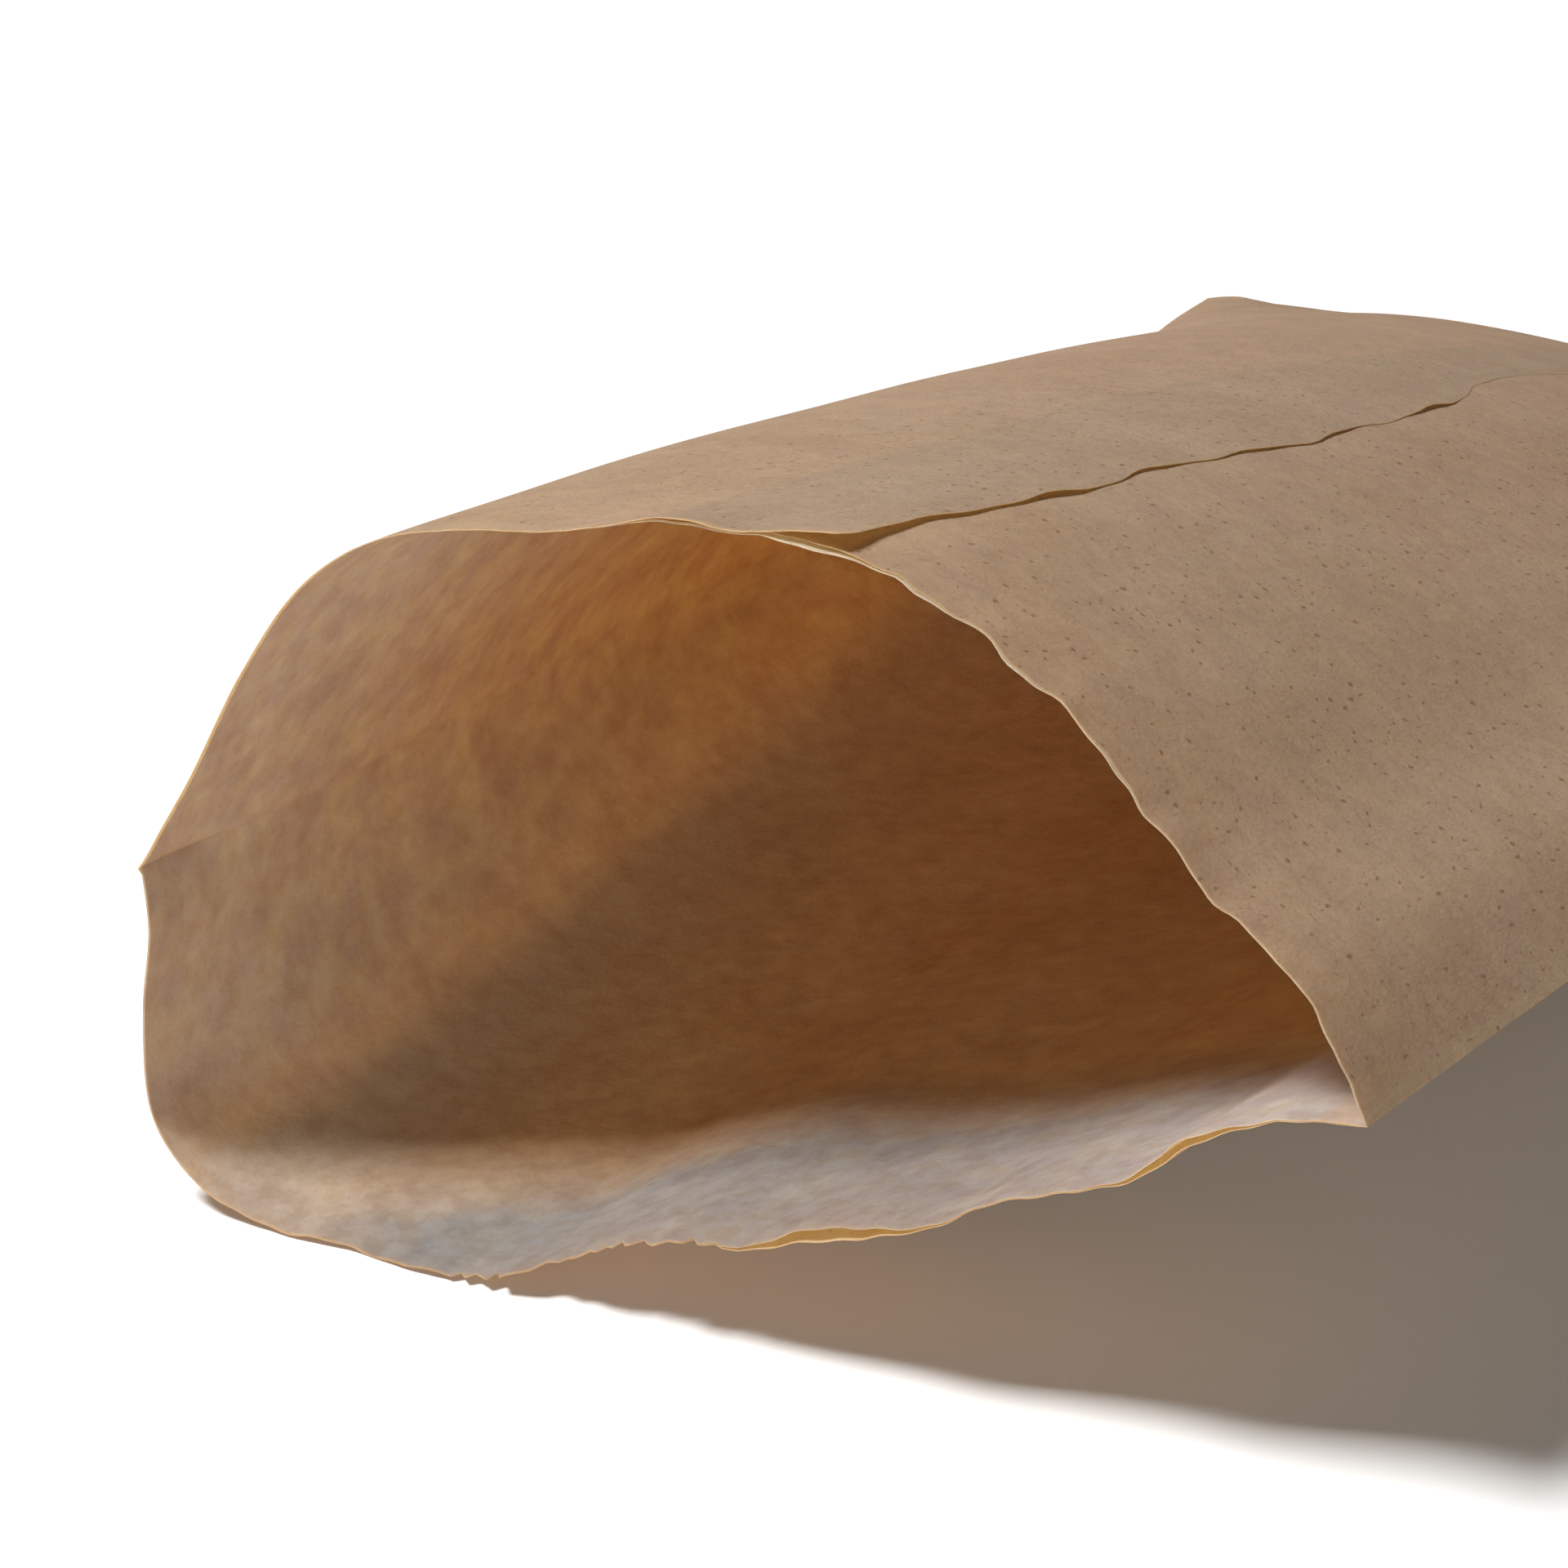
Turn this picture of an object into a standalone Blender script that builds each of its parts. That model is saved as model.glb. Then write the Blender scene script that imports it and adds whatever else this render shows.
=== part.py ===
"""Flat brown paper lunch bag, lying on one face with its mouth popped open.

The bag is two plies, one inside the other: a kraft outer ply, glued into a tube by an overlap
seam, and a pale lining ply. Each is a thin cup of paper, open at the mouth and closed at the flat far end.
The mouth faces -Y and +Z is up. The origin is at the middle of the bag's box, on the surface it lies on.
"""

import math

import bmesh
import bpy
import numpy as np

MM = 0.001

# Driving dimensions of the paper
FLAT_WIDTH = 180 * MM  # across the empty bag, fold to fold; its girth is twice this
LENGTH = 312 * MM  # from the mouth to the closed end
OUTER_WALL = 0.4 * MM
PLY_GAP = 0.3 * MM
LINING_WALL = 0.3 * MM

# The mouth, seen along +Y: x and z of the two cut edges, from the left fold to the right fold
UPPER_LIP = [
    (-47, 37), (-42, 47), (-36, 61), (-29, 71.5), (-20, 78), (-5, 82), (10, 84.5), (26, 87),
    (36, 86), (48, 80.5), (61, 72), (72, 62), (85, 52.5), (90, 46), (93, 41),
]
LOWER_LIP = [
    (-47, 37), (-45.5, 30), (-45.5, 21), (-43.5, 9.5), (-38, 3.5), (-26, 0.4), (-12, 0.5), (0, 1.2),
    (8, 5.5), (20, 10.5), (33, 13.5), (47, 19), (60, 25.5), (71, 30.5), (80, 37.5), (87, 40), (93, 41),
]
MOUTH_LEAN = math.radians(13)  # the upper lip lies further back than the lower one

# How the open mouth turns into the flat closed end
FLATTENING = 0.63  # the height falls with this power of the distance to the closed end
END_LAG = 0.023  # share of the length by which the shape runs ahead, until it is caught up at the end
END_RUN = 8  # power of the length for what happens at the closed end only
RELAX_RATE = 1.085  # the mouth's own shape is gone after one part in this many of the length
CROWN = 53 * MM  # height over the folds of the plain arch that the upper face relaxes to
CROWN_SKEW = 0.9  # the arch is fuller on the left by this share
BELLY = 28 * MM  # depth below the folds of the arch that the lower face relaxes to
END_SHIFT = 29 * MM  # the closed end lies this far to the right of the mouth
END_YAW = math.radians(-6)  # and is turned to stay square to the bag's own axis
END_HEIGHT = 0.8 * MM  # height of the folds at the closed end
FOLD_RISE = 3 * MM  # the folds run this much above a straight line half way along
MID_TWIST = 0.07  # extra slope from fold to fold half way along
END_THICKNESS = 1.5 * MM  # the four plies pressed and glued together

# The glued overlap seam along the upper face
SEAM_AT = 0.575  # share of the way from the left fold to the right fold
OVERLAP = 0.13  # width of the overlap as a share of the face
FLAP_STEP = 0.4 * MM
FLAP_RAMP = 0.04  # share of the face over which the flap rises from the paper under it
FLAP_DROP = 0.004  # share of the face over which its free edge drops
FLAP_FADE = 12  # the step is gone over the last one part in this many of the length

# How the skins of a wall come together
NARROW_GAP = 4 * MM  # where the faces are closer than this, the wall thins with the gap
FOLD_REACH = 0.35  # limit for the mitre at a fold, as a share of the first column for each mm of depth
SOLID_END = 5 * MM  # the outer ply is solid for this far at the closed end
SHARP_ANGLE = math.radians(35)

# Mesh density
COLUMNS = 26  # across each face
ROWS = 13  # along the bag
LAST_ROW = 0.97  # share of the length where the evenly graded rows stop
END_ROWS = (0.98, 0.99)  # further rows, for a skin that reaches past them
ROW_GRADING = 1.5  # power by which the rows close up towards the end


def smooth_outline(points, steps=12):
    """A centripetal Catmull-Rom curve through the points."""
    knots = np.array(points) * MM
    padded = np.vstack([2 * knots[0] - knots[1], knots, 2 * knots[-1] - knots[-2]])
    curve = []
    for a, b, c, d in zip(padded, padded[1:], padded[2:], padded[3:]):
        t1 = np.linalg.norm(b - a) ** 0.5
        t2 = t1 + np.linalg.norm(c - b) ** 0.5
        t3 = t2 + np.linalg.norm(d - c) ** 0.5
        for t in np.linspace(t1, t2, steps, endpoint=False):
            first = (t1 - t) / t1 * a + t / t1 * b
            second = (t2 - t) / (t2 - t1) * b + (t - t1) / (t2 - t1) * c
            third = (t3 - t) / (t3 - t2) * c + (t - t2) / (t3 - t2) * d
            left = (t2 - t) / t2 * first + t / t2 * second
            right = (t3 - t) / (t3 - t1) * second + (t - t1) / (t3 - t1) * third
            curve.append((t2 - t) / (t2 - t1) * left + (t - t1) / (t2 - t1) * right)
    return np.array(curve + [knots[-1]])


def resample(curve, shares):
    """Points at the given shares of the curve's length."""
    walked = np.concatenate([[0], np.cumsum(np.linalg.norm(np.diff(curve, axis=0), axis=1))])
    at = np.array(shares) * walked[-1]
    return np.column_stack([np.interp(at, walked, curve[:, 0]), np.interp(at, walked, curve[:, 1])])


def keep_girth(upper, lower):
    """Stretch both faces sideways until the paper round the section is as long as the real girth."""
    steps = np.vstack([np.diff(upper, axis=0), np.diff(lower, axis=0)])
    stretch = 1.0
    for _ in range(12):
        lengths = np.hypot(stretch * steps[:, 0], steps[:, 1])
        excess = lengths.sum() - 2 * FLAT_WIDTH
        stretch -= excess / (stretch * steps[:, 0] ** 2 / lengths).sum()
    return upper * [stretch, 1], lower * [stretch, 1]


def face_shares():
    """Columns across a face, with two of them close together at the seam for its step."""
    left = round(COLUMNS * SEAM_AT)
    return np.concatenate([
        np.linspace(0, SEAM_AT, left + 1),
        np.linspace(SEAM_AT + FLAP_DROP, 1, COLUMNS - left),
    ])


class Form:
    """The bag's shape: the section at any share of the length."""

    def __init__(self):
        self.shares = face_shares()
        upper = resample(smooth_outline(UPPER_LIP), self.shares)
        lower = resample(smooth_outline(LOWER_LIP), self.shares)
        upper, lower = keep_girth(upper, lower)
        left, right = upper[0], upper[-1]
        self.middle = (left + right) / 2
        self.slope = (right[1] - left[1]) / (right[0] - left[0])
        self.upper = self.over_folds(upper)
        self.lower = self.over_folds(lower)
        across = 2 * self.shares - 1
        half = (right[0] - left[0]) / 2
        arch = 1 - across**2
        self.crown = np.column_stack([across * half, CROWN * arch * (1 - CROWN_SKEW * across)])
        self.belly = np.column_stack([across * half, -BELLY * arch])

    def over_folds(self, outline):
        x = outline[:, 0] - self.middle[0]
        return np.column_stack([x, outline[:, 1] - self.middle[1] - self.slope * x])

    def section(self, t):
        """Both faces' outlines at share t of the length, as x and z, from the left fold to the right."""
        t = t + END_LAG * (t - t**END_RUN)
        flat = (1 - t) ** FLATTENING
        blend = min(RELAX_RATE * t, 1)
        upper = (self.upper * (1 - blend) + self.crown * blend) * [1, flat]
        lower = (self.lower * (1 - blend) + self.belly * blend) * [1, flat]
        upper, lower = keep_girth(upper, lower)
        pressed = END_THICKNESS / 2 * t**END_RUN
        hump = 4 * t * (1 - t)
        x_mid = self.middle[0] + END_SHIFT * t
        z_mid = self.middle[1] * (1 - t) + END_HEIGHT * t + FOLD_RISE * hump
        slope = self.slope * (1 - t) + MID_TWIST * hump
        faces = []
        for outline, side in ((upper, 1), (lower, -1)):
            x = outline[:, 0] + x_mid
            z = outline[:, 1] + z_mid + slope * outline[:, 0] + side * pressed
            faces.append(np.column_stack([x, z]))
        return faces


def inward(upper, lower, depth):
    """Both outlines moved into the bag by depth, and by less where the two faces come together."""
    gap = np.linalg.norm(upper - lower, axis=1)
    moved = []
    for outline, turn in ((upper, 1), (lower, -1)):
        run = np.gradient(outline, axis=0)
        run /= np.linalg.norm(run, axis=1)[:, None]
        normal = np.column_stack([run[:, 1], -run[:, 0]]) * turn
        amount = np.minimum(depth, gap * depth / NARROW_GAP)
        new = outline + normal * amount[:, None]
        for fold, beside in ((0, 1), (-1, -2)):
            middle = (upper[beside] + lower[beside]) / 2
            reach = middle - outline[fold]
            half_angle = math.atan2(gap[beside] / 2, np.linalg.norm(reach))
            far_in = min(depth / math.sin(half_angle), FOLD_REACH * np.linalg.norm(reach) * depth / MM)
            new[fold] = outline[fold] + reach / np.linalg.norm(reach) * far_in
        moved.append(new)
    return moved


def skin(form, depth, end, flap):
    """A tube of paper as rows of points round the section, from the mouth to share `end` of the length."""
    rows = [LAST_ROW * (1 - (1 - k / ROWS) ** ROW_GRADING) for k in range(ROWS + 1)]
    rows += [t for t in END_ROWS if t < end] + [end]
    rings = []
    for t in rows:
        upper, lower = form.section(t)
        if depth:
            upper, lower = inward(upper, lower, depth)
        if flap:
            start = SEAM_AT - OVERLAP
            raised = np.clip((form.shares - start) / FLAP_RAMP, 0, 1) * (form.shares <= SEAM_AT)
            upper[:, 1] += FLAP_STEP * raised * min(1, (1 - t) * FLAP_FADE)
        ring = np.vstack([upper, lower[-2:0:-1]])
        ring[:, 1] = np.maximum(ring[:, 1], depth)
        x, z = ring.T
        y = LENGTH * t + z * math.tan(MOUTH_LEAN) * (1 - t) ** 2 + x * math.tan(END_YAW) * t
        rings.append(np.column_stack([x, y, z]))
    return rings


def add_tube(mesh, rings, outward):
    """Faces between the rings, and across the last ring from the upper face to the lower one."""
    verts = [[mesh.verts.new(point) for point in ring] for ring in rings]

    def face(*corners):
        mesh.faces.new(corners if outward else corners[::-1])

    for ring, following in zip(verts, verts[1:]):
        count = len(ring)
        for i in range(count):
            j = (i + 1) % count
            # every skin has the same diagonals, so that nested skins never cross
            face(ring[i], ring[j], following[j])
            face(ring[i], following[j], following[i])
    last = verts[-1]
    count = len(last)
    face(last[0], last[1], last[-1])
    for i in range(1, count // 2 - 1):
        face(last[i], last[i + 1], last[-i - 1], last[-i])
    middle = count // 2
    face(last[middle - 1], last[middle], last[middle + 1])
    return verts[0]


def paper_cup(form, name, material, depth, wall, end, flap=False):
    """One ply as a closed solid: an outer skin, an inner skin and the cut edge that joins them."""
    mesh = bmesh.new()
    lip_out = add_tube(mesh, skin(form, depth, end, flap), outward=True)
    inner_end = end - (wall + END_THICKNESS if depth else SOLID_END) / LENGTH
    lip_in = add_tube(mesh, skin(form, depth + wall, inner_end, False), outward=False)
    for i in range(len(lip_out)):
        j = (i + 1) % len(lip_out)
        mesh.faces.new((lip_out[j], lip_out[i], lip_in[i], lip_in[j]))
    data = bpy.data.meshes.new(name)
    mesh.to_mesh(data)
    mesh.free()
    data.shade_smooth()
    data.set_sharp_from_angle(angle=SHARP_ANGLE)
    data.materials.append(material)
    return bpy.data.objects.new(name, data)


def paper(name, colour, roughness):
    material = bpy.data.materials.new(name)
    material.use_nodes = True
    shader = material.node_tree.nodes["Principled BSDF"]
    shader.inputs["Base Color"].default_value = (*colour, 1)
    shader.inputs["Roughness"].default_value = roughness
    shader.inputs["Metallic"].default_value = 0
    return material


def outer_bag(form):
    kraft = paper("kraft_paper", (0.42, 0.29, 0.19), 0.85)
    return paper_cup(form, "outer_bag", kraft, 0, OUTER_WALL, 1, flap=True)


def inner_lining(form):
    pale = paper("lining_paper", (0.62, 0.55, 0.50), 0.8)
    depth = OUTER_WALL + PLY_GAP
    end = 1 - (SOLID_END + PLY_GAP * 2) / LENGTH
    return paper_cup(form, "inner_lining", pale, depth, LINING_WALL, end)


def centre_on_surface(objects):
    """Move the meshes so that the origin is the bottom centre of the bag's box."""
    corners = np.array([vertex.co for obj in objects for vertex in obj.data.vertices])
    low, high = corners.min(axis=0), corners.max(axis=0)
    for obj in objects:
        for vertex in obj.data.vertices:
            vertex.co.x -= (low[0] + high[0]) / 2
            vertex.co.y -= (low[1] + high[1]) / 2


def main():
    for obj in list(bpy.data.objects):
        bpy.data.objects.remove(obj, do_unlink=True)
    form = Form()
    plies = [outer_bag(form), inner_lining(form)]
    centre_on_surface(plies)
    collection = bpy.data.collections.new("paper_lunch_bag")
    bpy.context.scene.collection.children.link(collection)
    for ply in plies:
        collection.objects.link(ply)


main()
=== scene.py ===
"""The looks of the brown paper lunch bag: two thin plies of paper, their finish, floor, light and camera."""

import math

import bpy
import numpy as np
from mathutils import Euler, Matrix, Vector


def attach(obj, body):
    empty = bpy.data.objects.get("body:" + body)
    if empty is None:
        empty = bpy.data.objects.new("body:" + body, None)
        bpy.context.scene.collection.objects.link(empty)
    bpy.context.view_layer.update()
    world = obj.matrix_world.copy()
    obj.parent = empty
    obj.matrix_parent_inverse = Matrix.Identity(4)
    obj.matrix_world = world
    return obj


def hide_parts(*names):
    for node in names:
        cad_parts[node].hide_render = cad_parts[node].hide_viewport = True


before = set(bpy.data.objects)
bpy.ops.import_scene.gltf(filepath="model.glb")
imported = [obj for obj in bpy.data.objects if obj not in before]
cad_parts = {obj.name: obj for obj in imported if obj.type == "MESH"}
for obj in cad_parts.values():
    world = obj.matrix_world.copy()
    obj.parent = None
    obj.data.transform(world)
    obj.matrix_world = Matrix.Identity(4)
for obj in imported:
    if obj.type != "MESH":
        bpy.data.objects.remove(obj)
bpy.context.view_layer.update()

MM = 0.001

# The paper, as in the CAD model
FLAT_WIDTH = 180 * MM
LENGTH = 312 * MM
UPPER_LIP = [
    (-47, 37), (-42, 47), (-36, 61), (-29, 71.5), (-20, 78), (-5, 82), (10, 84.5), (26, 87),
    (36, 86), (48, 80.5), (61, 72), (72, 62), (85, 52.5), (90, 46), (93, 41),
]
LOWER_LIP = [
    (-47, 37), (-45.5, 30), (-45.5, 21), (-43.5, 9.5), (-38, 3.5), (-26, 0.4), (-12, 0.5), (0, 1.2),
    (8, 5.5), (20, 10.5), (33, 13.5), (47, 19), (60, 25.5), (71, 30.5), (80, 37.5), (87, 40), (93, 41),
]
MOUTH_LEAN = math.radians(13)
FLATTENING = 0.63
END_LAG = 0.023
END_RUN = 8
RELAX_RATE = 1.085
CROWN = 53 * MM
CROWN_SKEW = 0.9
BELLY = 28 * MM
END_SHIFT = 29 * MM
END_YAW = math.radians(-6)
END_HEIGHT = 0.8 * MM
FOLD_RISE = 3 * MM
MID_TWIST = 0.07
END_THICKNESS = 1.5 * MM
SEAM_AT = 0.575
OVERLAP = 0.13
CENTRE = Vector((47.29, 158.00, 0)) * MM  # middle of the CAD box in the frame of the lip outlines

# The sheets
PLY = 0.09 * MM
FLAP_REST = 0.12 * MM  # height of the overlap over the paper it is glued to
OUTER_DEPTH = 0.06 * MM  # middle of the outer ply, inside the CAD skin
LINING_DEPTH = 0.19 * MM
COLUMNS = 200  # across each face
ROWS = 104
CORNER_ROUNDING = 7 * MM
ROUNDING_REACH = 42 * MM  # length of paper that the rounding of the left fold averages over, each way
FULL_ROUNDING = 16 * MM  # the rounding is full this near the left fold
NO_ROUNDING = 50 * MM  # and gone this far from it
GIRTH_ROUNDS = 12  # rounds of correction that settle the girth
CUT_FADE = 6 * MM  # depth over which the wander of a cut edge fades
INNER_EDGE = SEAM_AT - OVERLAP  # share of the face where the paper under the flap ends
FREE_EDGE = 0.055  # share of the face over which the flap's free edge can lift
DENTS = 26  # waves that add up to the crumpling
DENT_HEIGHT = 0.05 * MM
UPPER_SEED = 3
LOWER_SEED = 4
SHARP_ANGLE = math.radians(40)

# The finish
FIBRE_HEIGHT = 0.1 * MM
PAPER_SPECULAR = 0.25

# The view and the floor
LENS_ANGLE = math.radians(20.13)
CAMERA_PITCH = math.radians(27.045)  # below the horizon
CAMERA_TURN = math.radians(26.0)
CAMERA_AT = Vector((204.1, -345.9, 266.2)) * MM - CENTRE
FLOOR_HALF = 4.0
FLOOR_DROP = 0.02 * MM  # keeps the floor clear of the paper's lowest points
WORLD_LIGHT = 0.06


def smooth_outline(points, steps=24):
    """A centripetal Catmull-Rom curve through the points."""
    knots = np.array(points) * MM
    padded = np.vstack([2 * knots[0] - knots[1], knots, 2 * knots[-1] - knots[-2]])
    curve = []
    for a, b, c, d in zip(padded, padded[1:], padded[2:], padded[3:]):
        t1 = np.linalg.norm(b - a) ** 0.5
        t2 = t1 + np.linalg.norm(c - b) ** 0.5
        t3 = t2 + np.linalg.norm(d - c) ** 0.5
        for t in np.linspace(t1, t2, steps, endpoint=False):
            first = (t1 - t) / t1 * a + t / t1 * b
            second = (t2 - t) / (t2 - t1) * b + (t - t1) / (t2 - t1) * c
            third = (t3 - t) / (t3 - t2) * c + (t - t2) / (t3 - t2) * d
            left = (t2 - t) / t2 * first + t / t2 * second
            right = (t3 - t) / (t3 - t1) * second + (t - t1) / (t3 - t1) * third
            curve.append((t2 - t) / (t2 - t1) * left + (t - t1) / (t2 - t1) * right)
    return np.array(curve + [knots[-1]])


def resample(curve, shares):
    """Points at the given shares of the curve's length."""
    walked = np.concatenate([[0], np.cumsum(np.linalg.norm(np.diff(curve, axis=0), axis=1))])
    at = np.array(shares) * walked[-1]
    return np.column_stack([np.interp(at, walked, curve[:, 0]), np.interp(at, walked, curve[:, 1])])


def keep_girth(upper, lower):
    """Stretch both faces sideways until the paper round the section is as long as the real girth."""
    steps = np.vstack([np.diff(upper, axis=0), np.diff(lower, axis=0)])
    stretch = 1.0
    for _ in range(GIRTH_ROUNDS):
        lengths = np.hypot(stretch * steps[:, 0], steps[:, 1])
        excess = lengths.sum() - 2 * FLAT_WIDTH
        stretch -= excess / (stretch * steps[:, 0] ** 2 / lengths).sum()
    return upper * [stretch, 1], lower * [stretch, 1]


class Form:
    """The bag's shape: the section at any share of the length."""

    def __init__(self, shares):
        self.shares = shares
        upper = resample(smooth_outline(UPPER_LIP), self.shares)
        lower = resample(smooth_outline(LOWER_LIP), self.shares)
        upper, lower = keep_girth(upper, lower)
        left, right = upper[0], upper[-1]
        self.middle = (left + right) / 2
        self.slope = (right[1] - left[1]) / (right[0] - left[0])
        self.upper = self.over_folds(upper)
        self.lower = self.over_folds(lower)
        across = 2 * self.shares - 1
        half = (right[0] - left[0]) / 2
        arch = 1 - across**2
        self.crown = np.column_stack([across * half, CROWN * arch * (1 - CROWN_SKEW * across)])
        self.belly = np.column_stack([across * half, -BELLY * arch])

    def over_folds(self, outline):
        """The outline measured from the straight line between the two folds."""
        x = outline[:, 0] - self.middle[0]
        return np.column_stack([x, outline[:, 1] - self.middle[1] - self.slope * x])

    def section(self, t):
        """Both faces' outlines at share t of the length, as x and z, from the left fold to the right."""
        t = t + END_LAG * (t - t**END_RUN)
        flat = (1 - t) ** FLATTENING
        blend = min(RELAX_RATE * t, 1)
        upper = (self.upper * (1 - blend) + self.crown * blend) * [1, flat]
        lower = (self.lower * (1 - blend) + self.belly * blend) * [1, flat]
        upper, lower = keep_girth(upper, lower)
        pressed = END_THICKNESS / 2 * t**END_RUN
        hump = 4 * t * (1 - t)
        x_mid = self.middle[0] + END_SHIFT * t
        z_mid = self.middle[1] * (1 - t) + END_HEIGHT * t + FOLD_RISE * hump
        slope = self.slope * (1 - t) + MID_TWIST * hump
        faces = []
        for outline, side in ((upper, 1), (lower, -1)):
            x = outline[:, 0] + x_mid
            z = outline[:, 1] + z_mid + slope * outline[:, 0] + side * pressed
            faces.append(np.column_stack([x, z]))
        return faces


def row_shares():
    """Rows along the bag, close together at the cut edge of the mouth and again at the closed end."""
    k = np.linspace(0, 1, ROWS + 1)
    at_mouth = k**2.2
    at_end = 1 - (1 - k) ** 1.5
    return 0.6 * at_mouth + 0.4 * at_end


def bump(x, centre, width):
    """A smooth hill of height 1."""
    return np.exp(-(((x - centre) / width) ** 2))


def ramp(x, start, end):
    """0 before start, 1 after end, smooth between."""
    t = np.clip((x - start) / (end - start), 0, 1)
    return t * t * (3 - 2 * t)


def ripples(x, *waves):
    """A sum of sines, each as (height, wavelength, phase)."""
    return sum(height * np.sin(2 * math.pi * (x / length) + phase) for height, length, phase in waves)


# Everything below describes the paper by where it is on the flat sheet:
# share = 0 at the left fold and 1 at the right fold, and depth = distance in from the cut edge.


def flutter_upper(share, depth):
    """How far the upper lip waves outward."""
    across = share * FLAT_WIDTH
    small = ripples(across, (0.2, 14.5 * MM, 0.6), (0.15, 9.3 * MM, 2.0), (0.1, 5.3 * MM, 4.4))
    small = small * ramp(share, 0.5, 0.62) * (1 - 0.6 * ramp(share, 0.8, 0.95))
    under_flap = -0.45 * bump(share, 0.565, 0.035)
    dips = 0.6 * bump(share, 0.455, 0.025) - 0.5 * bump(share, 0.385, 0.025) - 0.5 * bump(share, 0.5, 0.015)
    slow = ripples(across, (0.2, 41 * MM, 1.0))
    near = small * np.exp(-depth / (5 * MM)) + dips * np.exp(-depth / (10 * MM))
    near = near + under_flap * np.exp(-((depth / (16 * MM)) ** 2))
    return (near + slow * np.exp(-depth / (40 * MM))) * MM


def flutter_lower(share, depth):
    """How far the lower lip waves outward."""
    across = share * FLAT_WIDTH
    small = ripples(across, (0.26, 21 * MM, 1.1), (0.18, 11.7 * MM, 0.3), (0.1, 5.1 * MM, 2.2))
    return small * ramp(share, 0.16, 0.3) * np.exp(-depth / (8 * MM)) * MM


def crumple(share, depth, seed):
    """Soft dents all over the sheet, as heights."""
    rng = np.random.default_rng(seed)
    x = share * FLAT_WIDTH
    total = np.zeros(np.broadcast(x, depth).shape)
    for _ in range(DENTS):
        length = rng.uniform(18, 90) * MM
        angle = rng.normal(0, 0.7)
        phase = rng.uniform(0, 2 * math.pi)
        total = total + length / (80 * MM) * np.sin(
            2 * math.pi * (x * math.cos(angle) + depth * math.sin(angle) * 0.6) / length + phase
        )
    return DENT_HEIGHT * total


def cut_upper(share):
    """How far the upper cut edge stands in from the straight cut, along the bag."""
    across = share * FLAT_WIDTH
    return ripples(across, (0.16, 9.7 * MM, 0.2), (0.08, 3.9 * MM, 1.4)) * ramp(share, 0.2, 0.5) * MM


def cut_lower(share):
    """The lower cut edge wanders, and is torn into fine teeth over part of its left half."""
    across = share * FLAT_WIDTH
    torn = ramp(share, 0.37, 0.41) * (1 - ramp(share, 0.55, 0.61))
    teeth = np.abs(ripples(across, (0.5, 6.1 * MM, 0.5), (0.45, 3.7 * MM, 1.0), (0.4, 2.1 * MM, 2.0)))
    wander = ripples(across, (0.3, 27 * MM, 0.4), (0.15, 12.1 * MM, 2.4)) * ramp(share, 0.12, 0.3)
    return (wander + 1.3 * torn * teeth) * MM


def lining_edge(share):
    """How far the lining's upper cut edge stands out past the outer ply's."""
    slivers = 0.8 * bump(share, 0.55, 0.03) + 0.5 * bump(share, 0.62, 0.02)
    slivers = slivers + 0.45 * bump(share, 0.69, 0.016) + 0.4 * bump(share, 0.765, 0.016)
    return -slivers * MM


def flap_lift(depth):
    """How far the free edge of the overlap stands off the paper below it."""
    open_mouth = 2.1 * np.exp(-depth / (17 * MM))
    puckers = 0.5 * bump(depth, 50 * MM, 7 * MM) + 0.35 * bump(depth, 77 * MM, 8 * MM)
    puckers = puckers + 0.3 * bump(depth, 104 * MM, 10 * MM) + 0.3 * bump(depth, 128 * MM, 8 * MM)
    puckers = puckers + 0.7 * bump(depth, 165 * MM, 8 * MM) + 0.7 * bump(depth, 202 * MM, 6 * MM)
    return (open_mouth + puckers) * MM


def seam_share(depth):
    """Where the flap's free edge runs across the upper face: it bows a little and drifts near the end."""
    bow = ripples(depth, (0.0035, 62 * MM, 2.6), (0.0018, 29 * MM, 0.9), (0.0008, 13 * MM, 0.3))
    start = -0.005 * np.exp(-((depth / (14 * MM)) ** 2))
    return 0.569 + start + bow - 0.048 * ramp(depth, 140 * MM, 215 * MM)


def lining_gap(share, upper):
    """How far the lining stands off the outer ply at the cut edge."""
    if upper:
        return 0.25 * bump(share, 0.55, 0.04) * MM
    return (1.25 * bump(share, 0.655, 0.045) + 0.75 * bump(share, 0.885, 0.035)) * MM


def in_space(x, z, t, trim):
    """Points of a section put in the bag's frame; trim moves them along the bag."""
    y = LENGTH * t + z * math.tan(MOUTH_LEAN) * (1 - t) ** 2 + x * math.tan(END_YAW) * t + trim
    return np.column_stack([x - CENTRE.x, y - CENTRE.y, z])


def normals(outline, turn):
    """Directions square to the outline, into the bag with turn 1 on the upper face and -1 on the lower."""
    run = np.gradient(outline, axis=0)
    run /= np.linalg.norm(run, axis=1)[:, None]
    return np.column_stack([run[:, 1], -run[:, 0]]) * turn


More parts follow.
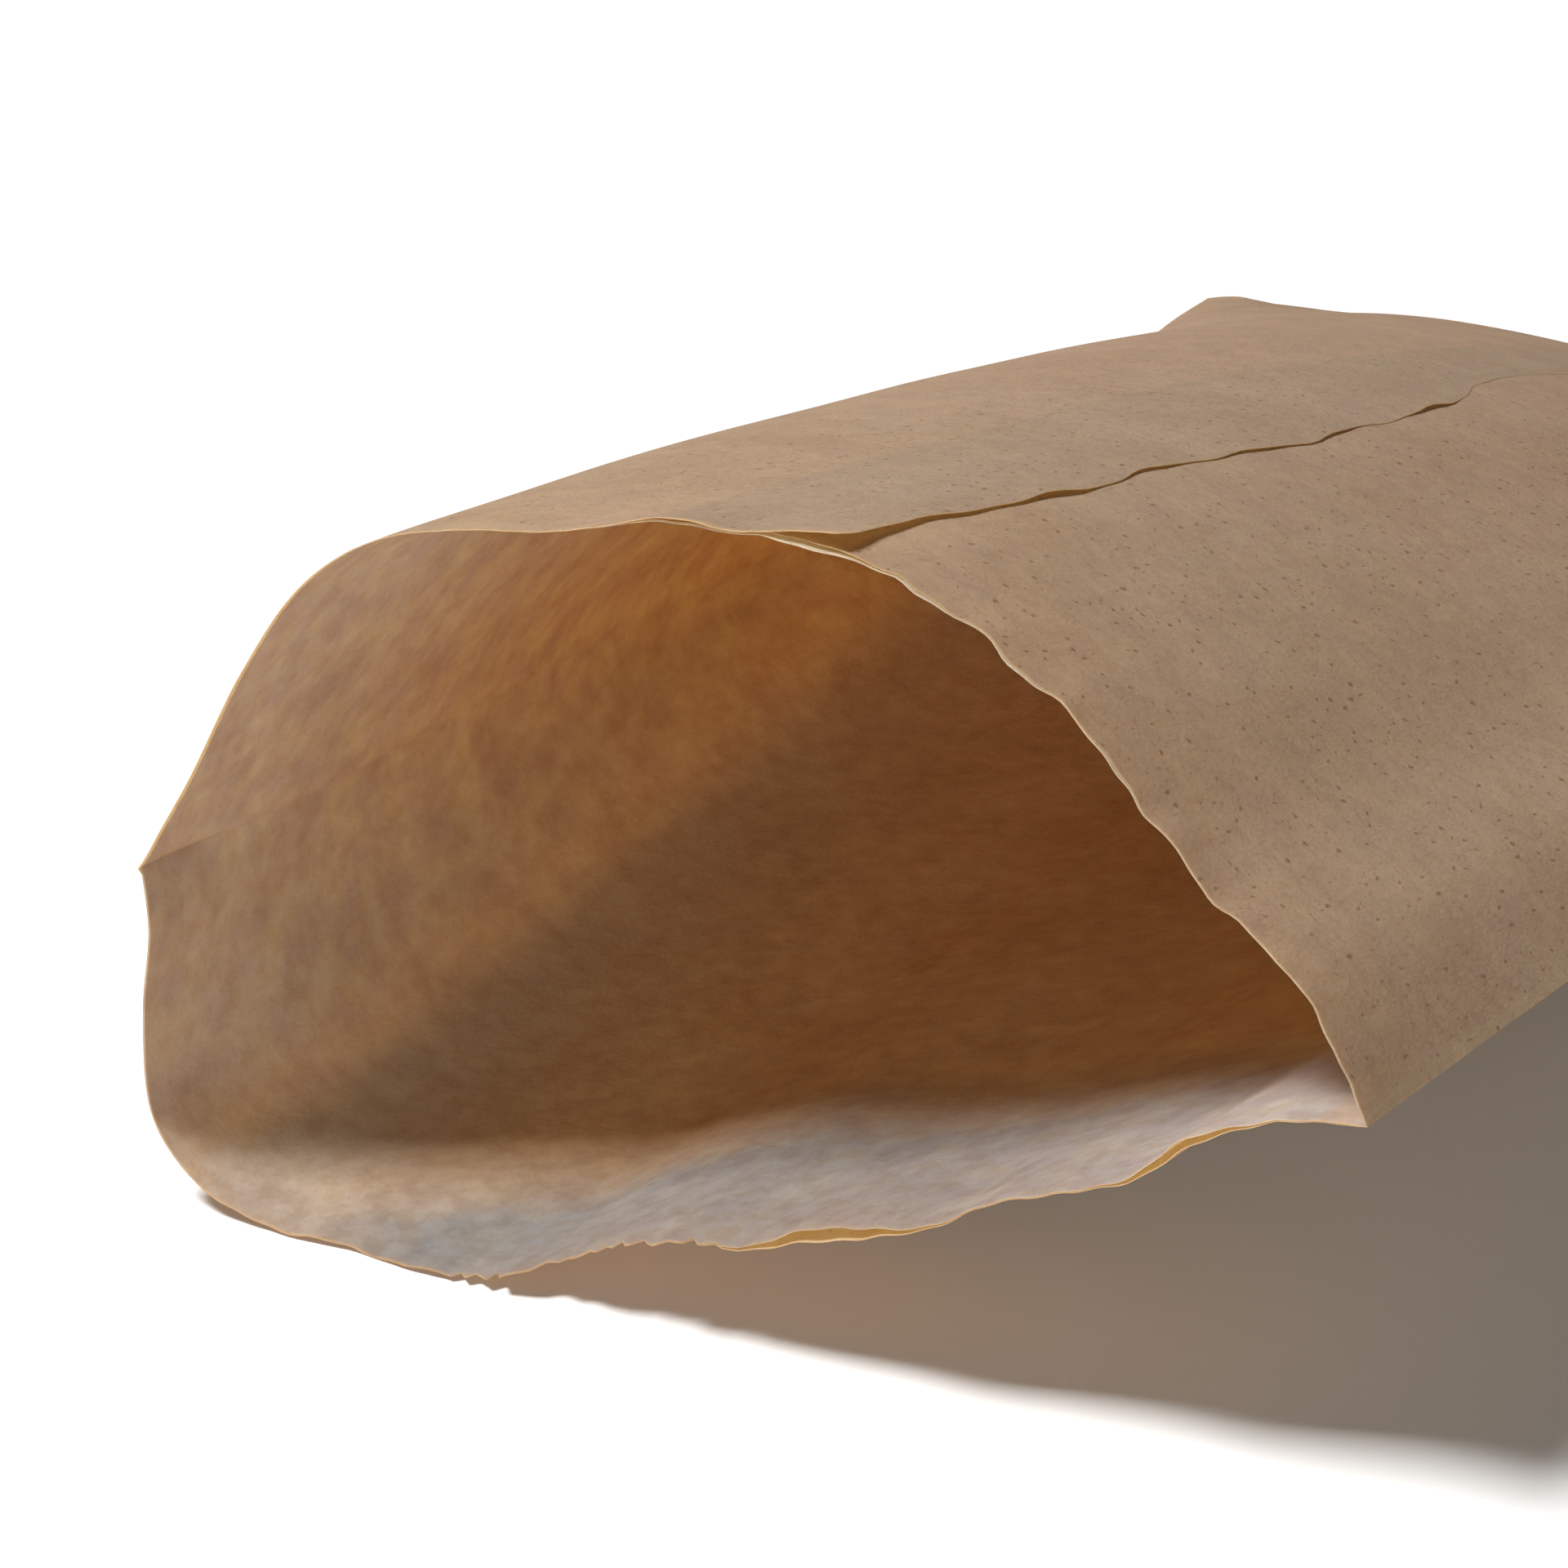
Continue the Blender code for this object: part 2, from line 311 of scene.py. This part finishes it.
def soften_left_fold(upper, lower, t):
    """Round off the left fold where the opened bag has pushed it out of its crease."""
    strength = ramp(t, 0.01, 0.09) * (1 - ramp(t, 0.7, 0.98))
    ring = np.vstack([upper[::-1], lower[1:]])
    pitch = FLAT_WIDTH / (len(upper) - 1)
    count = round(ROUNDING_REACH / pitch)
    kernel = bump(np.arange(-count, count + 1), 0, ROUNDING_REACH / 3 / pitch)
    kernel /= kernel.sum()
    padded = np.vstack([np.repeat(ring[:1], count, axis=0), ring, np.repeat(ring[-1:], count, axis=0)])
    smooth = np.column_stack([np.convolve(padded[:, k], kernel, "valid") for k in (0, 1)])
    middle = len(upper) - 1
    from_fold = np.abs(np.arange(len(ring)) - middle) * pitch
    weight = strength * (1 - ramp(from_fold, FULL_ROUNDING, NO_ROUNDING))
    ring = ring + weight[:, None] * (smooth - ring)
    return ring[middle::-1], ring[middle:]


def faces_at(form, t, depth_in, lining):
    """Both faces of a ply at share t of the length, with their waves, as points and cut trims."""
    upper, lower = soften_left_fold(*form.section(t), t)
    share = form.shares
    depth = LENGTH * t
    gap = np.linalg.norm(upper - lower, axis=1)
    room = np.clip(gap / (5 * MM), 0, 1)
    made = []
    for outline, turn in ((upper, 1), (lower, -1)):
        top = turn == 1
        wave = flutter_upper(share, depth) if top else flutter_lower(share, depth)
        wave = wave * ramp(share, 0, 0.04) * ramp(1 - share, 0, 0.04)
        dents = crumple(share, depth, UPPER_SEED if top else LOWER_SEED) * (1 if top else 0.4) * room
        inward = np.minimum(depth_in, gap * depth_in / (2 * MM))
        if lining:
            inward = inward + lining_gap(share, top) * np.exp(-((depth / (22 * MM)) ** 2)) * room
        shift = inward - wave * room - dents
        new = outline + normals(outline, turn) * shift[:, None]
        new[:, 1] = np.maximum(new[:, 1], depth_in)
        made.append(new)
    near_cut = math.exp(-depth / CUT_FADE)
    trims = [cut_upper(share) * near_cut, cut_lower(share) * near_cut]
    if lining:
        trims[0] = trims[0] + lining_edge(share) * math.exp(-depth / (4 * MM))
    corner = -CORNER_ROUNDING * (1 - ramp(share, -0.03, 0.03)) * ramp(t, 0.93, 1)
    trims = [trim + corner for trim in trims]
    return made, trims


def sheet_object(name, rings, across, along, closed, material):
    """A grid of rings as a thin closed sheet with a flat-sheet UV map in metres."""
    count = len(rings[0])
    wrap = count if closed else count - 1
    faces = []
    for r in range(len(rings) - 1):
        for i in range(wrap):
            j = (i + 1) % count
            a, b = r * count + i, r * count + j
            faces.append((a, b, b + count, a + count))
    mesh = bpy.data.meshes.new(name)
    mesh.from_pydata([tuple(p) for p in np.vstack(rings)], [], faces)
    layer = mesh.uv_layers.new(name="sheet")
    girth = np.append(across, across[-1] + (across[1] - across[0]))
    uv = np.empty((len(faces) * 4, 2))
    column = np.tile(np.arange(wrap), len(rings) - 1)
    row = np.repeat(np.arange(len(rings) - 1), wrap)
    for corner, (dc, dr) in enumerate(((0, 0), (1, 0), (1, 1), (0, 1))):
        uv[corner::4, 0] = girth[column + dc]
        uv[corner::4, 1] = along[row + dr]
    layer.data.foreach_set("uv", uv.ravel())
    mesh.shade_smooth()
    mesh.set_sharp_from_angle(angle=SHARP_ANGLE)
    uses = {}
    for polygon in mesh.polygons:
        for key in polygon.edge_keys:
            uses[key] = uses.get(key, 0) + 1
    for edge in mesh.edges:
        if uses[edge.key] == 1:
            edge.use_edge_sharp = True
    mesh.materials.append(material)
    piece = bpy.data.objects.new(name, mesh)
    bpy.context.scene.collection.objects.link(piece)
    solid = piece.modifiers.new("ply", "SOLIDIFY")
    solid.thickness = PLY
    solid.offset = 0
    return piece


def outer_ply(material):
    """One sheet wound once round the bag, from under the flap to the flap's free edge."""
    form = Form(np.linspace(0, 1, COLUMNS + 1))
    share = form.shares
    first = int(round(COLUMNS * INNER_EDGE))
    last = int(round(COLUMNS * SEAM_AT))
    over = ramp(share, INNER_EDGE - 0.05, INNER_EDGE)
    free = np.clip((share - SEAM_AT + FREE_EDGE) / FREE_EDGE, 0, 1)
    rings = []
    for t in row_shares():
        (upper, lower), (trim_up, trim_low) = faces_at(form, t, OUTER_DEPTH, lining=False)
        depth = LENGTH * t
        near_cut = math.exp(-depth / CUT_FADE)
        out = -normals(upper, 1)
        lift = over * FLAP_REST * (1 - 0.5 * ramp(t, 0.4, 0.7)) + free * flap_lift(depth)
        lift = lift + 0.4 * MM * bump(share, 0.47, 0.025) * near_cut
        stretch = share[: last + 1] / SEAM_AT * (seam_share(depth) - SEAM_AT)
        reach = share[: last + 1] + stretch * free[: last + 1] ** 0.5
        flap = upper + out * lift[:, None]
        flap = np.column_stack([np.interp(reach, share, flap[:, k]) for k in (0, 1)])
        parts = [
            in_space(*upper[first:].T, t, trim_up[first:]),
            in_space(*lower[-2:0:-1].T, t, trim_low[-2:0:-1]),
            in_space(*flap.T, t, trim_up[: last + 1] - 0.5 * MM * near_cut),
        ]
        rings.append(np.vstack(parts))
    across = np.linspace(0, 2 * FLAT_WIDTH * (1 + OVERLAP / 2), len(rings[0]))
    return sheet_object("outer_paper", rings, across, row_shares() * LENGTH, False, material)


def lining_ply(material):
    """One sheet all round the bag, inside the outer ply."""
    form = Form(np.linspace(0, 1, COLUMNS + 1))
    rings = []
    for t in row_shares():
        (upper, lower), (trim_up, trim_low) = faces_at(form, t, LINING_DEPTH, lining=True)
        rings.append(np.vstack([
            in_space(*upper.T, t, trim_up),
            in_space(*lower[-2:0:-1].T, t, trim_low[-2:0:-1]),
        ]))
    across = np.linspace(0, 2 * FLAT_WIDTH, len(rings[0]), endpoint=False)
    return sheet_object("lining_paper", rings, across, row_shares() * LENGTH, True, material)


class Nodes:
    """Short hand for building a material's node tree."""

    def __init__(self, name):
        self.material = bpy.data.materials.new(name)
        self.material.use_nodes = True
        self.tree = self.material.node_tree
        self.tree.nodes.clear()

    def add(self, kind, **inputs):
        node = self.tree.nodes.new(kind)
        for key, value in inputs.items():
            self.set(node, key, value)
        return node

    def set(self, node, key, value):
        """Link or set an input, given by its name with _ for spaces, or as i and its number."""
        names = [socket.name for socket in node.inputs]
        name = key.replace("_", " ")
        socket = node.inputs[name] if name in names else node.inputs[int(key[1:])]
        if isinstance(value, bpy.types.NodeSocket):
            self.tree.links.new(value, socket)
        else:
            socket.default_value = value

    def noise(self, at, scale, detail, roughness):
        node = self.add("ShaderNodeTexNoise", Vector=at, Scale=scale, Detail=detail, Roughness=roughness)
        return node.outputs["Fac"]

    def stretched(self, at, x, y):
        """Coordinates whose noise is stretched along an axis that is scaled below 1."""
        node = self.add("ShaderNodeMapping", Vector=at)
        node.inputs["Scale"].default_value = (x, y, 1)
        return node.outputs["Vector"]

    def ramp(self, value, *stops):
        node = self.add("ShaderNodeValToRGB", Fac=value)
        ramp = node.color_ramp
        while len(ramp.elements) < len(stops):
            ramp.elements.new(0.5)
        for element, (position, colour) in zip(ramp.elements, stops):
            element.position = position
            element.color = (*colour, 1)
        return node.outputs["Color"]

    def grey(self, value, low, high, low_out=0.0, high_out=1.0):
        """A value carried over from low..high to low_out..high_out."""
        node = self.add("ShaderNodeMapRange", Value=value)
        node.inputs["From Min"].default_value = low
        node.inputs["From Max"].default_value = high
        node.inputs["To Min"].default_value = low_out
        node.inputs["To Max"].default_value = high_out
        return node.outputs["Result"]

    def maths(self, operation, a, b):
        node = self.add("ShaderNodeMath")
        node.operation = operation
        self.set(node, "i0", a)
        self.set(node, "i1", b)
        return node.outputs["Value"]

    def blend(self, mode, share, a, b):
        node = self.add("ShaderNodeMix")
        node.data_type = "RGBA"
        node.blend_type = mode
        for index, value in ((0, share), (6, a), (7, b)):
            if isinstance(value, bpy.types.NodeSocket):
                self.tree.links.new(value, node.inputs[index])
            else:
                node.inputs[index].default_value = value
        return node.outputs[2]

    def paper(self, colour, through, share, height, roughness, strength):
        """Paper that scatters light back and also lets a share of it through."""
        bump_node = self.add("ShaderNodeBump", Height=height, Strength=strength)
        bump_node.inputs["Distance"].default_value = FIBRE_HEIGHT
        normal = bump_node.outputs["Normal"]
        front = self.add("ShaderNodeBsdfPrincipled", Base_Color=colour, Roughness=roughness, Normal=normal)
        front.inputs["Specular IOR Level"].default_value = PAPER_SPECULAR
        back = self.add("ShaderNodeBsdfTranslucent", Color=through, Normal=normal)
        mix = self.add("ShaderNodeMixShader", i0=share)
        self.tree.links.new(front.outputs[0], mix.inputs[1])
        self.tree.links.new(back.outputs[0], mix.inputs[2])
        out = self.add("ShaderNodeOutputMaterial")
        self.tree.links.new(mix.outputs[0], out.inputs["Surface"])
        return self.material


def fibres(n, uv):
    """Heights of the paper's fibres: fine felt with a slight lengthwise grain."""
    felt = n.noise(uv, 1700, 2, 0.7)
    grain = n.noise(n.stretched(uv, 1.0, 0.45), 2300, 0, 0.6)
    cloud = n.noise(uv, 240, 2, 0.6)
    fine = n.maths("ADD", n.maths("MULTIPLY", felt, 0.5), n.maths("MULTIPLY", grain, 0.35))
    return n.maths("ADD", fine, n.maths("MULTIPLY", cloud, 0.4))


def look_through(n, uv, thick, thin):
    """Cloudy colour of the light that comes through, as paper is denser in some spots."""
    cloud = n.noise(uv, 140, 4, 0.7)
    return n.ramp(cloud, (0.36, thick), (0.64, thin))


def kraft():
    """Brown paper: a clouded base under mottling, small specks, lengthwise streaks and dark flecks."""
    n = Nodes("kraft_paper_look")
    uv = n.add("ShaderNodeUVMap").outputs["UV"]
    height = fibres(n, uv)
    cloud = n.noise(uv, 45, 3, 0.62)
    base = n.ramp(cloud, (0.3, (0.475, 0.405, 0.32)), (0.7, (0.53, 0.46, 0.375)))
    mottle = n.noise(uv, 520, 3, 0.75)
    base = n.blend("MULTIPLY", n.grey(mottle, 0.42, 0.60, 0.0, 0.42), base, (0.76, 0.72, 0.68, 1))
    speck = n.noise(uv, 2600, 1, 0.6)
    base = n.blend("MULTIPLY", n.grey(speck, 0.45, 0.70, 0.0, 0.65), base, (0.74, 0.68, 0.62, 1))
    streak = n.noise(n.stretched(uv, 1.0, 0.10), 420, 1, 0.6)
    base = n.blend("MULTIPLY", n.grey(streak, 0.52, 0.72, 0.0, 0.22), base, (0.86, 0.80, 0.74, 1))
    fleck = n.noise(n.stretched(uv, 1.0, 0.6), 1300, 0, 0.4)
    base = n.blend("MIX", n.grey(fleck, 0.735, 0.775, 0.0, 0.6), base, (0.13, 0.075, 0.04, 1))
    rough = n.grey(mottle, 0.3, 0.7, 0.62, 0.82)
    through = look_through(n, uv, (0.92, 0.68, 0.36), (1.0, 0.80, 0.47))
    return n.paper(base, through, share=0.56, height=height, roughness=rough, strength=0.9)


def lining():
    """Lining paper in its own grey near the mouth, with painted light laid on by place: a painted tan glow
    further in, a brighter one over the lower face, and a painted lit band behind the lower lip, lightest
    near the right fold.

    On the flat sheet, around runs from the left fold over the upper face, then back over the lower one.
    """
    n = Nodes("lining_paper_look")
    uv = n.add("ShaderNodeUVMap").outputs["UV"]
    height = fibres(n, uv)
    cloud = n.noise(uv, 60, 3, 0.62)
    # Painted light: a light grey band on the lower face behind the lower lip, where light falls in through
    # the mouth, lighter still near the right fold.
    painted_lit_band = n.ramp(cloud, (0.3, (0.29, 0.34, 0.375)), (0.7, (0.365, 0.42, 0.455)))
    painted_right_fold_light = n.ramp(cloud, (0.3, (0.45, 0.51, 0.56)), (0.7, (0.53, 0.60, 0.66)))
    wall = n.ramp(cloud, (0.3, (0.50, 0.58, 0.58)), (0.7, (0.62, 0.71, 0.72)))
    # Painted light: the tan further in stands in for the orange light that comes through the outer ply.
    brown = n.ramp(cloud, (0.3, (0.83, 0.66, 0.45)), (0.7, (0.98, 0.80, 0.57)))
    place = n.add("ShaderNodeSeparateXYZ", Vector=uv)
    around, depth = place.outputs["X"], place.outputs["Y"]
    past_fold = n.grey(around, 178 * MM, 186 * MM)
    on_lower = n.maths("MULTIPLY", past_fold, n.grey(around, 335 * MM, 295 * MM))
    from_lip = n.maths("ADD", depth, n.grey(around, 260 * MM, 310 * MM, 0.0, 24 * MM))
    # Mask of the painted lit band: the lower face within about 26 to 47 mm of the lower lip, narrower
    # towards the left fold.
    lit_band_mask = n.maths("MULTIPLY", on_lower, n.grey(from_lip, 47 * MM, 26 * MM))
    # The lining's own grey near the mouth turns to the painted tan glow between 30 and 150 mm in.
    base = n.blend("MIX", n.grey(depth, 30 * MM, 150 * MM), wall, brown)
    # Painted light: a lighter tan over most of the lower face, brightening the floor of the bag where it
    # lies in shade.
    painted_floor_glow = n.ramp(cloud, (0.3, (0.90, 0.62, 0.36)), (0.7, (1.0, 0.76, 0.47)))
    base = n.blend("MIX", on_lower, base, painted_floor_glow)
    # The painted lit band turns lighter towards the right fold and is then laid over the lining.
    painted_lit_band = n.blend("MIX", n.grey(around, 235 * MM, 195 * MM), painted_lit_band, painted_right_fold_light)
    base = n.blend("MIX", lit_band_mask, base, painted_lit_band)
    mottle = n.noise(uv, 330, 3, 0.72)
    base = n.blend("MULTIPLY", n.grey(mottle, 0.42, 0.60, 0.0, 0.6), base, (0.80, 0.70, 0.60, 1))
    rough = n.grey(mottle, 0.3, 0.7, 0.6, 0.8)
    through = look_through(n, uv, (0.84, 0.58, 0.31), (1.0, 0.82, 0.52))
    return n.paper(base, through, share=0.60, height=height, roughness=rough, strength=0.7)


def floor():
    mesh = bpy.data.meshes.new("floor")
    corners = [(x * FLOOR_HALF, y * FLOOR_HALF, 0) for x, y in ((-1, -1), (1, -1), (1, 1), (-1, 1))]
    mesh.from_pydata(corners, [], [(0, 1, 2, 3)])
    n = Nodes("floor_look")
    shader = n.add("ShaderNodeBsdfPrincipled", Roughness=0.8)
    shader.inputs["Base Color"].default_value = (0.78, 0.78, 0.78, 1)
    shader.inputs["Specular IOR Level"].default_value = 0.0
    out = n.add("ShaderNodeOutputMaterial")
    n.tree.links.new(shader.outputs[0], out.inputs["Surface"])
    mesh.materials.append(n.material)
    plane = bpy.data.objects.new("floor", mesh)
    plane.location.z = -FLOOR_DROP
    bpy.context.scene.collection.objects.link(plane)


def area_light(name, at, target, width, depth, power, colour=(1, 1, 1)):
    data = bpy.data.lights.new(name, "AREA")
    data.shape = "RECTANGLE"
    data.size = width
    data.size_y = depth
    data.energy = power
    data.color = colour
    light = bpy.data.objects.new(name, data)
    light.location = at
    light.rotation_euler = (Vector(target) - Vector(at)).to_track_quat("-Z", "Y").to_euler()
    bpy.context.scene.collection.objects.link(light)


def studio():
    """One soft key from above on the left, with two weak warm fills in front of the mouth."""
    world = bpy.data.worlds.new("studio")
    world.use_nodes = True
    background = world.node_tree.nodes["Background"]
    background.inputs["Color"].default_value = (1, 1, 1, 1)
    background.inputs["Strength"].default_value = WORLD_LIGHT
    bpy.context.scene.world = world
    area_light("key", (-1.16, -0.46, 2.14), (0, -0.1, 0.0), 0.62, 0.62, 92)
    area_light("fill_right", (1.25, -0.85, 0.26), (0, -0.1, 0.03), 0.7, 0.4, 4, (1, 0.9, 0.78))
    area_light("fill_front", (0.10, -1.70, 0.34), (0, -0.1, 0.03), 0.8, 0.5, 14, (1, 0.88, 0.74))


def camera():
    data = bpy.data.cameras.new("camera")
    data.sensor_width = 36
    data.angle = LENS_ANGLE
    data.clip_start = 0.01
    camera_object = bpy.data.objects.new("camera", data)
    camera_object.location = CAMERA_AT
    camera_object.rotation_euler = Euler((math.pi / 2 - CAMERA_PITCH, 0, CAMERA_TURN))
    bpy.context.scene.collection.objects.link(camera_object)
    bpy.context.scene.camera = camera_object


def plain_colours():
    """Show colours as they are, and let light through several plies of paper."""
    scene = bpy.context.scene
    scene.view_settings.view_transform = "Standard"
    scene.cycles.max_bounces = 7
    scene.cycles.diffuse_bounces = 6
    scene.cycles.transmission_bounces = 6


outer = outer_ply(kraft())
inner = lining_ply(lining())
for piece, node, slot in ((outer, "outer_bag", "kraft_paper"), (inner, "inner_lining", "lining_paper")):
    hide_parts(node)
    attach(piece, "root")
floor()
studio()
camera()
plain_colours()
